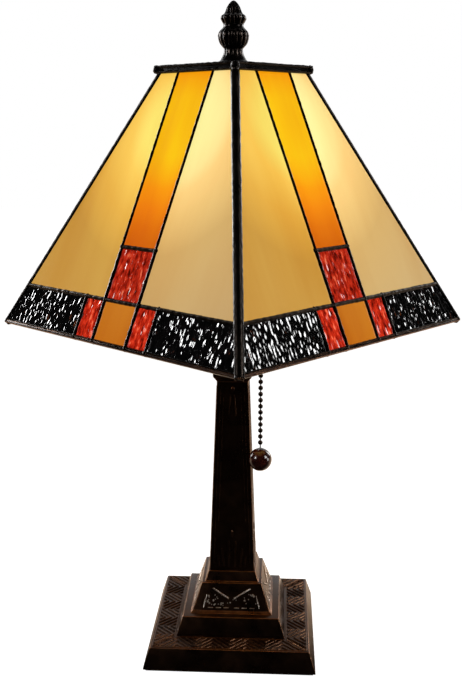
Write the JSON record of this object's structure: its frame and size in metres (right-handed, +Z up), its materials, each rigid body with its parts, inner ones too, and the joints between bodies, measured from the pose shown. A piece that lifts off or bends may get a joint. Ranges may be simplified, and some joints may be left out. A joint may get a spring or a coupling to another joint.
{
  "type": "stained glass table lamp",
  "caption": "Table lamp with a four-sided leaded glass shade, stepped square base, tapered column, harp, finial and beaded pull chain.",
  "frame": {"origin": "centre of the base's underside, on the felt", "axes": "+Z up the lamp's axis; X and Y along the base's sides, with the pull chain towards +X and -Y"},
  "size_m": [0.3424, 0.3424, 0.4826],
  "materials": {
    "cast_bronze": "dark bronze lacquer over cast metal, rubbed lighter on edges and upward faces",
    "leading": "black-brown patina on rounded solder, satin",
    "antique_brass": "satin antique brass",
    "zinc_steel": "zinc-plated steel",
    "felt": "dark wool felt",
    "phenolic": "moulded phenolic",
    "chain_bronze": "oxidised bronze bead chain",
    "ball_brown": "glossy dark red-brown lacquer",
    "bulb_glass": "frosted, lit from inside",
    "cream_glass": "cream opal art glass with fine streaks, lit from inside",
    "amber_glass": "amber opal art glass, lit from inside",
    "orange_glass": "orange opal art glass",
    "red_glass": "red rippled art glass",
    "dark_glass": "near-black rippled art glass"
  },
  "bodies": {
    "root": {"base_felt": "felt", "base_plinth": "cast_bronze", "cord_bushing": "phenolic", "base_pedestal": "cast_bronze", "column": "cast_bronze", "column_neck": "cast_bronze", "lamp_pipe": "zinc_steel", "base_nut": "zinc_steel", "harp_saddle": "antique_brass", "harp": "antique_brass", "socket_cap": "antique_brass", "socket_shell": "antique_brass", "socket_interior": "phenolic", "bell_mouth": "antique_brass"},
    "shade": {"shade_came": "leading", "shade_cap": "leading", "amber_strip_1": "amber_glass", "red_panel_1": "red_glass", "orange_square_1": "orange_glass", "cream_panel_left_1": "cream_glass", "cream_panel_right_1": "cream_glass", "dark_border_left_1": "dark_glass", "dark_border_right_1": "dark_glass", "red_square_left_1": "red_glass", "red_square_right_1": "red_glass", "amber_strip_2": "amber_glass", "red_panel_2": "red_glass", "orange_square_2": "orange_glass", "cream_panel_left_2": "cream_glass", "cream_panel_right_2": "cream_glass", "dark_border_left_2": "dark_glass", "dark_border_right_2": "dark_glass", "red_square_left_2": "red_glass", "red_square_right_2": "red_glass", "amber_strip_3": "amber_glass", "red_panel_3": "red_glass", "orange_square_3": "orange_glass", "cream_panel_left_3": "cream_glass", "cream_panel_right_3": "cream_glass", "dark_border_left_3": "dark_glass", "dark_border_right_3": "dark_glass", "red_square_left_3": "red_glass", "red_square_right_3": "red_glass", "amber_strip_4": "amber_glass", "red_panel_4": "red_glass", "orange_square_4": "orange_glass", "cream_panel_left_4": "cream_glass", "cream_panel_right_4": "cream_glass", "dark_border_left_4": "dark_glass", "dark_border_right_4": "dark_glass", "red_square_left_4": "red_glass", "red_square_right_4": "red_glass"},
    "finial": {"finial": "cast_bronze"},
    "bulb": {"bulb_base": "zinc_steel", "bulb_glass": "bulb_glass"},
    "ferrule_left": {"harp_ferrule_left": "antique_brass"},
    "ferrule_right": {"harp_ferrule_right": "antique_brass"},
    "pull_link": {"chain_upper": "chain_bronze"},
    "pull_chain": {"chain_lower": "chain_bronze"},
    "pull_ball": {"pull_ball": "ball_brown"}
  },
  "joints": [
    {"name": "shade_turn", "type": "hinge", "parent": "root", "child": "shade", "pos_m": [0, 0, 0.4337], "axis": [0, 0, 1], "continuous": true},
    {"name": "finial_turn", "type": "hinge", "parent": "root", "child": "finial", "pos_m": [0, 0, 0.44], "axis": [0, 0, 1], "continuous": true},
    {"name": "bulb_turn", "type": "hinge", "parent": "root", "child": "bulb", "pos_m": [0, 0, 0.3], "axis": [0, 0, 1], "continuous": true},
    {"name": "ferrule_left_lift", "type": "slide", "parent": "root", "child": "ferrule_left", "axis": [0, 0, 1], "range_m": [0, 0.012]},
    {"name": "ferrule_right_lift", "type": "slide", "parent": "root", "child": "ferrule_right", "axis": [0, 0, 1], "range_m": [0, 0.012]},
    {"name": "chain_pull", "type": "slide", "parent": "root", "child": "pull_link", "axis": [0, 0, -1], "range_m": [0, 0.008], "stiffness_N_per_m": 900},
    {"name": "chain_swing", "type": "hinge", "parent": "pull_link", "child": "pull_chain", "pos_m": [0.02146, -0.02688, 0.23128], "axis": [0.7815, 0.6239, 0], "range_deg": [-20, 4]},
    {"name": "ball_swing", "type": "hinge", "parent": "pull_chain", "child": "pull_ball", "pos_m": [0.02146, -0.02688, 0.1645], "axis": [0.6239, -0.7815, 0], "range_deg": [-20, 20]}
  ]
}
